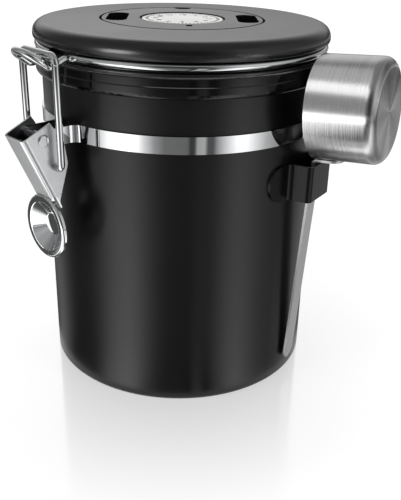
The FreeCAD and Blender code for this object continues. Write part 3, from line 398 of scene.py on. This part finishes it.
def canFinish(s):
    material, start, place = newMaterial("can_coat")
    x, y, z = place.parts()
    radius = fromAxis(x, y)
    middle = start.add("MapRange", {}, {0: z, 1: s["rimStart"], 2: s["rimFull"], 3: s["wall"], 4: s["rim"]})
    inside = (radius < middle) * (z > s["floorTop"])
    rim = z.ease(*s["rimEdge"])
    smudge = place.noise(s["smudge"], detail=3.0)
    peel = place.noise(s["peel"], detail=1.0)
    turned = start.add("CombineXYZ", {}, {0: z * s["spun"], 1: radius * s["spun"], 2: x * s["spunLong"]})
    spun = turned.noise(1.0, detail=3.0)
    coatRough = s["coatRough"] + smudge.swing(s["coatSwing"])
    outRough = coatRough + rim * (s["rimRough"] - coatRough)
    steelRough = s["steelRough"] + spun.swing(s["steelSwing"])
    rough = outRough + inside * (steelRough - outRough)
    coat = smudge.blend(*greys(s["coat"], s["coatShades"]))
    steel = spun.blend(*greys(s["steel"], s["steelShades"]))
    colour = inside.blend(coat, steel)
    metal = inside * s["steelMetal"]
    height = peel * (1 - rim) * (1 - inside) * s["peelHeight"] + spun * inside
    shade(start, {"Base Color": colour, "Metallic": metal, "Roughness": rough, "IOR": s["ior"]},
          height, s["bump"])
    return material


# bright plated steel of the band, the hinge, the screws and the wires; the bush on the rivet gets a dark
# colour, a painted shade in the lever's channel
plateSet = {"colour": (0.80, 0.81, 0.82, 1.0), "rough": 0.03, "roughMore": 0.05, "roughLine": (0.35, 0.8),
            "smudge": 85.0, "dim": 0.93, "dimLine": (0.3, 0.75), "wave": 42.0, "waveBump": 0.10,
            "waveHigh": 0.001}
shadedBushSet = {**plateSet, "colour": (0.10, 0.10, 0.11, 1.0), "rough": 0.14, "roughMore": 0.10, "waveBump": 0.05}


def plateFinish(name, s):
    material, start, place = newMaterial(name)
    smudge = place.noise(s["smudge"], detail=3.0, roughness=0.6)
    wave = place.noise(s["wave"], detail=1.0)
    rough = s["rough"] + smudge.ease(*s["roughLine"]) * s["roughMore"]
    colour = smudge.ease(*s["dimLine"]).blend(s["colour"], scaled(s["colour"], s["dim"]))
    shade(start, {"Base Color": colour, "Metallic": 1.0, "Roughness": rough},
          wave, s["waveBump"], s["waveHigh"])
    return material


# satin lever with a polished thumb pad; inside its channel the colour is darkened, a painted shade
leverSet = {"colour": (0.86, 0.87, 0.88, 1.0), "dim": 0.9, "dimLine": (0.3, 0.75), "channelShade": 0.28,
            "rough": 0.36, "cloud": 70.0, "cloudSwing": 0.12, "lines": (90.0, 2600.0), "lineSwing": 0.08,
            "padRough": 0.07, "padLine": (0.0925, 0.0905), "web": (0.0, 0.91, 0.41), "webPlace": -0.0297,
            "cheek": 0.0063, "bump": 0.05, "bumpHigh": 0.0005}


def leverFinish(s):
    material, start, place = newMaterial("lever_steel")
    across, out, height = place.parts()
    pad = height.ease(*s["padLine"])
    # mask of the channel's inside, where the colour is darkened as painted shade
    inside = (across * across < s["cheek"] ** 2) * (place.dot(s["web"]) > s["webPlace"]) * (1 - pad)
    cloud = place.noise(s["cloud"], detail=3.0, roughness=0.6)
    lengthwise, crosswise = s["lines"]
    brushed = start.add("CombineXYZ", {}, {0: height * lengthwise, 1: out * crosswise})
    lines = brushed.noise(1.0, detail=2.0)
    satin = s["rough"] + cloud.swing(s["cloudSwing"]) + lines.swing(s["lineSwing"])
    rough = satin + pad * (s["padRough"] - satin)
    outer = cloud.ease(*s["dimLine"]).blend(s["colour"], scaled(s["colour"], s["dim"]))
    # painted shade: the channel's inside gets a darker copy of the steel colour
    colour = inside.blend(outer, scaled(s["colour"], s["channelShade"]))
    shade(start, {"Base Color": colour, "Metallic": 1.0, "Roughness": rough},
          cloud, s["bump"], s["bumpHigh"])
    return material


# moulded black plastic of the lid and the dial
plasticSet = {"colour": 0.004, "shades": (0.85, 1.2), "rough": 0.25, "grain": 2400.0, "grainSwing": 0.06,
              "cloud": 36.0, "cloudSwing": 0.10, "bump": 0.06, "ior": 1.56}


def plasticFinish(s):
    material, start, place = newMaterial("lid_plastic")
    grain = place.noise(s["grain"], detail=2.0)
    cloud = place.noise(s["cloud"], detail=3.0)
    rough = s["rough"] + cloud.swing(s["cloudSwing"]) + grain.swing(s["grainSwing"])
    colour = cloud.blend(*greys(s["colour"], s["shades"]))
    shade(start, {"Base Color": colour, "Roughness": rough, "IOR": s["ior"]}, grain, s["bump"])
    return material


# semi-gloss enamel on the scoop's clip
enamelSet = {"colour": 0.006, "shades": (0.8, 1.2), "rough": 0.20, "cloud": 60.0, "cloudSwing": 0.08,
             "peel": 900.0, "bump": 0.06, "ior": 1.32}


def enamelFinish(s):
    material, start, place = newMaterial("clip_enamel")
    peel = place.noise(s["peel"], detail=1.0)
    cloud = place.noise(s["cloud"], detail=2.0)
    rough = s["rough"] + cloud.swing(s["cloudSwing"])
    colour = cloud.blend(*greys(s["colour"], s["shades"]))
    shade(start, {"Base Color": colour, "Roughness": rough, "IOR": s["ior"]}, peel, s["bump"])
    return material


# brushed steel cup: lines run round the wall and in rings on the end; the end's light and dark wedges are
# painted reflections in its colour
cupSet = {
    "axis": (0.9519, 0.3001, 0.0610), "right": (-0.3007, 0.9537, 0.0), "up": (-0.0582, -0.0183, 0.998),
    "end": (0.0140, 0.0152), "colour": 0.56, "shades": (0.84, 1.08), "shadeLine": (0.25, 0.75),
    "rough": 0.22, "lines": 3200.0, "lineLong": 30.0, "lineSwing": 0.22, "cloud": 40.0, "cloudSwing": 0.06,
    "groove": 0.45,
    "sheenWedges": [(-180, 0.65), (-150, 0.95), (-120, 0.55), (-95, 1.05), (-70, 0.6), (-45, 0.5), (-15, 0.85),
               (5, 1.2), (22, 1.55), (36, 1.4), (48, 0.6), (70, 0.95), (110, 0.5), (135, 0.85),
               (155, 1.2), (180, 0.65)],
}


def cupFinish(s):
    material, start, place = newMaterial("cup_steel")
    apart = start.add("VectorMath", {"operation": "SUBTRACT"}, {0: place, 1: cupMiddle})
    along = apart.dot(s["axis"])
    length = start.add("VectorMath", {"operation": "LENGTH"}, {0: apart}, "Value")
    radius = (length * length - along * along) ** 0.5
    height = place.parts()[2]
    brushed = start.add("CombineXYZ", {}, {0: along * s["lines"], 1: radius * s["lines"],
                                           2: height * s["lineLong"]})
    lines = brushed.noise(1.0, detail=3.0, roughness=0.6)
    cloud = place.noise(s["cloud"], detail=2.0)
    rough = s["rough"] + lines.swing(s["lineSwing"]) + cloud.swing(s["cloudSwing"])
    share = start.sum("ARCTAN2", apart.dot(s["up"]), apart.dot(s["right"])) / math.tau
    # painted highlight and reflection: colour lighter and darker by angle round the axis, standing in for the
    # spun end's wedges of light
    sheenWedges = levelsRound(start, share, s["sheenWedges"], s["colour"])
    wall = lines.ease(*s["shadeLine"]).blend(*greys(s["colour"], s["shades"]))
    colour = along.ease(*s["end"]).blend(wall, sheenWedges)
    shade(start, {"Base Color": colour, "Metallic": 1.0, "Roughness": rough}, lines, s["groove"])
    return material


# strip handle, brushed along its length
handleSet = {"across": (-0.3, 0.954, 0.0), "colour": 0.66, "shades": (0.88, 1.06), "shadeLine": (0.25, 0.75),
             "rough": 0.38, "lines": 3000.0, "lineLong": 25.0, "lineSwing": 0.16, "cloud": 50.0,
             "cloudSwing": 0.06, "groove": 0.08}


def handleFinish(s):
    material, start, place = newMaterial("handle_steel")
    height = place.parts()[2]
    brushed = start.add("CombineXYZ", {}, {0: place.dot(s["across"]) * s["lines"], 1: height * s["lineLong"]})
    lines = brushed.noise(1.0, detail=3.0, roughness=0.6)
    cloud = place.noise(s["cloud"], detail=2.0)
    rough = s["rough"] + lines.swing(s["lineSwing"]) + cloud.swing(s["cloudSwing"])
    colour = lines.ease(*s["shadeLine"]).blend(*greys(s["colour"], s["shades"]))
    shade(start, {"Base Color": colour, "Metallic": 1.0, "Roughness": rough}, lines, s["groove"])
    return material


# matte pieces: white disc and its print, black liner, pale seals, dark slip disc and filter cloth
matteSet = {"cloud": 45.0, "cloudSwing": 0.10, "dim": 0.9, "dimLine": (0.3, 0.7)}
softSet = {
    "disc_white": {"colour": (0.66, 0.66, 0.65, 1.0), "rough": 0.38, "grain": 700.0, "bump": 0.03,
                   "on": ["dial_badge"]},
    "liner_black": {"colour": (0.016, 0.016, 0.017, 1.0), "rough": 0.42, "grain": 1800.0, "bump": 0.08,
                    "on": ["lid_liner", "valve_cap"]},
    "seal_silicone": {"colour": (0.62, 0.62, 0.60, 1.0), "rough": 0.50, "grain": 500.0, "bump": 0.04,
                      "on": ["lid_gasket", "valve_flap"]},
    "slip_dark": {"colour": (0.02, 0.02, 0.02, 1.0), "rough": 0.45, "grain": 900.0, "bump": 0.05,
                  "on": ["slip_disc"]},
    "filter_white": {"colour": (0.70, 0.69, 0.66, 1.0), "rough": 0.85, "grain": 2600.0, "bump": 0.5,
                     "on": ["valve_filter"]},
}
printSet = {"colour": (0.10, 0.10, 0.10, 1.0), "rough": 0.55, "grain": 1200.0, "bump": 0.05}


def softFinish(name, s, matte):
    material, start, place = newMaterial(name)
    grain = place.noise(s["grain"], detail=2.0)
    cloud = place.noise(matte["cloud"], detail=2.0)
    rough = s["rough"] + cloud.swing(matte["cloudSwing"])
    colour = cloud.ease(*matte["dimLine"]).blend(scaled(s["colour"], matte["dim"]), s["colour"])
    shade(start, {"Base Color": colour, "Roughness": rough}, grain, s["bump"])
    return material


# plain numbers and ticks on the white disc's face, with a hair of thickness
markSet = {"count": 12, "between": 5, "ring": 0.0112, "tall": 0.0034, "thick": 0.00008, "tickRing": 0.0152,
           "tickLong": 0.0018, "tickShort": 0.0010, "tickWide": 0.00032, "weld": 1e-6}


def numberMesh(text, tall, thick):
    words = bpy.data.curves.new("number", "FONT")
    words.body = text
    words.size = tall
    words.align_x = "CENTER"
    words.align_y = "CENTER"
    words.extrude = thick / 2
    letters = bpy.data.objects.new("number", words)
    mesh = bpy.data.meshes.new_from_object(letters)
    bpy.data.objects.remove(letters)
    return mesh


def makeMarks(s, finish):
    low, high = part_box("dial_badge")
    centre = Matrix.Translation(((low[0] + high[0]) / 2, (low[1] + high[1]) / 2, high[2] + s["thick"] / 2))
    made = bmesh.new()
    steps = s["count"] * s["between"]
    for step in range(steps):
        turn = centre @ Matrix.Rotation(math.radians(frontTurn + 90) - math.tau * step / steps, 4, "Z")
        large = step % s["between"] == 0
        size = (s["tickWide"], s["tickLong"] if large else s["tickShort"], s["thick"])
        place = turn @ Matrix.Translation((0, s["tickRing"], 0)) @ Matrix.Diagonal((*size, 1))
        bmesh.ops.create_cube(made, size=1.0, matrix=place)
        if large:
            first = len(made.verts)
            made.from_mesh(numberMesh(str(step // s["between"] or s["count"]), s["tall"], s["thick"]))
            made.verts.ensure_lookup_table()
            place = turn @ Matrix.Translation((0, s["ring"], 0))
            bmesh.ops.transform(made, matrix=place, verts=made.verts[first:])
    bmesh.ops.remove_doubles(made, verts=made.verts[:], dist=s["weld"])
    bmesh.ops.recalc_face_normals(made, faces=made.faces[:])
    marks = addPiece("dial_marks", made, finish)
    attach(marks, "dial")
    print("marks: %d faces" % len(marks.data.polygons))


makeMarks(markSet, softFinish("dial_print", printSet, matteSet))

dress(["canister_body"], canFinish(canSet))
dress(["body_band", "bail_wire", "lid_ring", "hinge_bracket", "lever_rivet", "liner_screws", "dial_screw"],
      plateFinish("bright_plate", plateSet))
# painted shade: the rivet's bush is coloured dark where the channel is in shade
dress(["pivot_bush"], plateFinish("shaded_bush", shadedBushSet))
dress(["latch_lever"], leverFinish(leverSet))
dress(["lid_shell", "date_dial"], plasticFinish(plasticSet))
dress(["scoop_holder"], enamelFinish(enamelSet))
dress(["scoop_cup"], cupFinish(cupSet))
dress(["scoop_handle"], handleFinish(handleSet))
for softName, softSettings in softSet.items():
    dress(softSettings["on"], softFinish(softName, softSettings, matteSet))
print("finishes:", len(bpy.data.materials))
